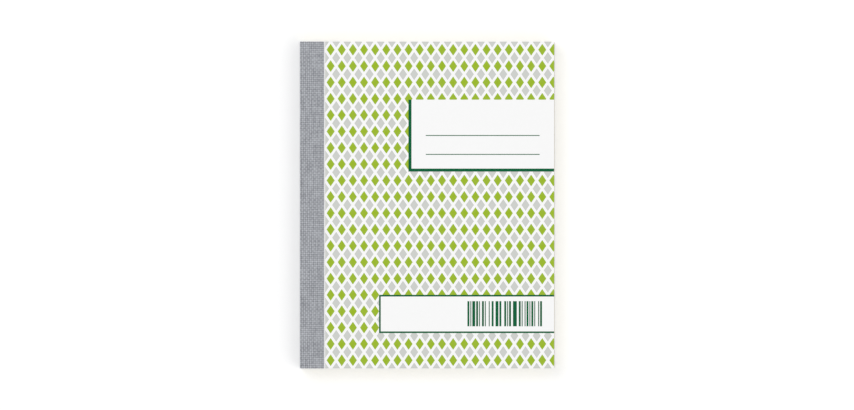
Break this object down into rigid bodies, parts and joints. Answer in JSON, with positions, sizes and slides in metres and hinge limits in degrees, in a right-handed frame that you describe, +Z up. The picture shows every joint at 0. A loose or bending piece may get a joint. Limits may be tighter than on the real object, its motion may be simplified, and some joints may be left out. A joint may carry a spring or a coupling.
{
  "type": "carbonless order book",
  "caption": "Side-stapled carbonless order book with a taped spine, turning printed cover, perforated sheets over tinted copies, and a writing shield that folds round from the back.",
  "frame": {"origin": "centre of the book's box, on the table under its back", "axes": "+X from the spine to the fore-edge, +Y from the tail to the head, +Z up out of the front cover"},
  "size_m": [0.1056, 0.135, 0.0097],
  "materials": {
    "cloth_tape": "matte",
    "staple_wire": "satin",
    "printed_card": "gloss",
    "plain_card": "matte",
    "white_sheet": "matte",
    "copy_sheet": "matte"
  },
  "bodies": {
    "binding": {"spine_tape": "cloth_tape", "upper_staple": "staple_wire", "lower_staple": "staple_wire", "front_cover_bound_edge": "printed_card", "back_cover": "plain_card", "top_sheet_bound_edges": "white_sheet", "copy_sheet_bound_edges": "copy_sheet"},
    "rear_block": {"rear_top_sheets": "white_sheet", "rear_copy_sheets": "copy_sheet"},
    "middle_block": {"middle_top_sheets": "white_sheet", "middle_copy_sheets": "copy_sheet"},
    "set_4_copy": {"set_4_copy_sheet": "copy_sheet"},
    "set_4_top": {"set_4_top_sheet": "white_sheet"},
    "set_3_copy": {"set_3_copy_sheet": "copy_sheet"},
    "set_3_top": {"set_3_top_sheet": "white_sheet"},
    "set_2_copy": {"set_2_copy_sheet": "copy_sheet"},
    "set_2_top": {"set_2_top_sheet": "white_sheet"},
    "set_1_copy": {"set_1_copy_sheet": "copy_sheet"},
    "set_1_top": {"set_1_top_sheet": "white_sheet"},
    "front_cover": {"front_cover": "printed_card"},
    "shield_strip": {"shield_edge_strip": "plain_card"},
    "shield_flap": {"shield_flap": "plain_card"}
  },
  "joints": [
    {"name": "rear_block_turn", "type": "hinge", "parent": "binding", "child": "rear_block", "pos_m": [-0.04238, 0, 0.00971], "axis": [0, 1, 0], "range_deg": [-179.99, 0]},
    {"name": "middle_block_turn", "type": "hinge", "parent": "rear_block", "child": "middle_block", "pos_m": [-0.04238, 0, 0.00971], "axis": [0, 1, 0], "range_deg": [-179.99, 0]},
    {"name": "set_4_copy_turn", "type": "hinge", "parent": "middle_block", "child": "set_4_copy", "pos_m": [-0.04238, 0, 0.00971], "axis": [0, 1, 0], "range_deg": [-179.99, 0]},
    {"name": "set_4_top_turn", "type": "hinge", "parent": "set_4_copy", "child": "set_4_top", "pos_m": [-0.04238, 0, 0.00971], "axis": [0, 1, 0], "range_deg": [-179.99, 0]},
    {"name": "set_3_copy_turn", "type": "hinge", "parent": "set_4_top", "child": "set_3_copy", "pos_m": [-0.04238, 0, 0.00971], "axis": [0, 1, 0], "range_deg": [-179.99, 0]},
    {"name": "set_3_top_turn", "type": "hinge", "parent": "set_3_copy", "child": "set_3_top", "pos_m": [-0.04238, 0, 0.00971], "axis": [0, 1, 0], "range_deg": [-179.99, 0]},
    {"name": "set_2_copy_turn", "type": "hinge", "parent": "set_3_top", "child": "set_2_copy", "pos_m": [-0.04238, 0, 0.00971], "axis": [0, 1, 0], "range_deg": [-179.99, 0]},
    {"name": "set_2_top_turn", "type": "hinge", "parent": "set_2_copy", "child": "set_2_top", "pos_m": [-0.04238, 0, 0.00971], "axis": [0, 1, 0], "range_deg": [-179.99, 0]},
    {"name": "set_1_copy_turn", "type": "hinge", "parent": "set_2_top", "child": "set_1_copy", "pos_m": [-0.04238, 0, 0.00971], "axis": [0, 1, 0], "range_deg": [-179.99, 0]},
    {"name": "set_1_top_turn", "type": "hinge", "parent": "set_1_copy", "child": "set_1_top", "pos_m": [-0.04238, 0, 0.00971], "axis": [0, 1, 0], "range_deg": [-179.99, 0]},
    {"name": "cover_turn", "type": "hinge", "parent": "set_1_top", "child": "front_cover", "pos_m": [-0.04238, 0, 0.00971], "axis": [0, -1, 0], "range_deg": [0, 179.99]},
    {"name": "back_shield_fold", "type": "hinge", "parent": "binding", "child": "shield_strip", "pos_m": [0.05278, 0, 0.0005], "axis": [0, -1, 0], "range_deg": [0, 267]},
    {"name": "back_shield_wrap", "type": "hinge", "parent": "shield_strip", "child": "shield_flap", "pos_m": [0.04356, 0, 0], "axis": [0, -1, 0], "range_deg": [0, 89]}
  ],
  "couplings": [
    {"joint": "back_shield_wrap", "follows": "back_shield_fold", "ratio": 0.33333}
  ]
}
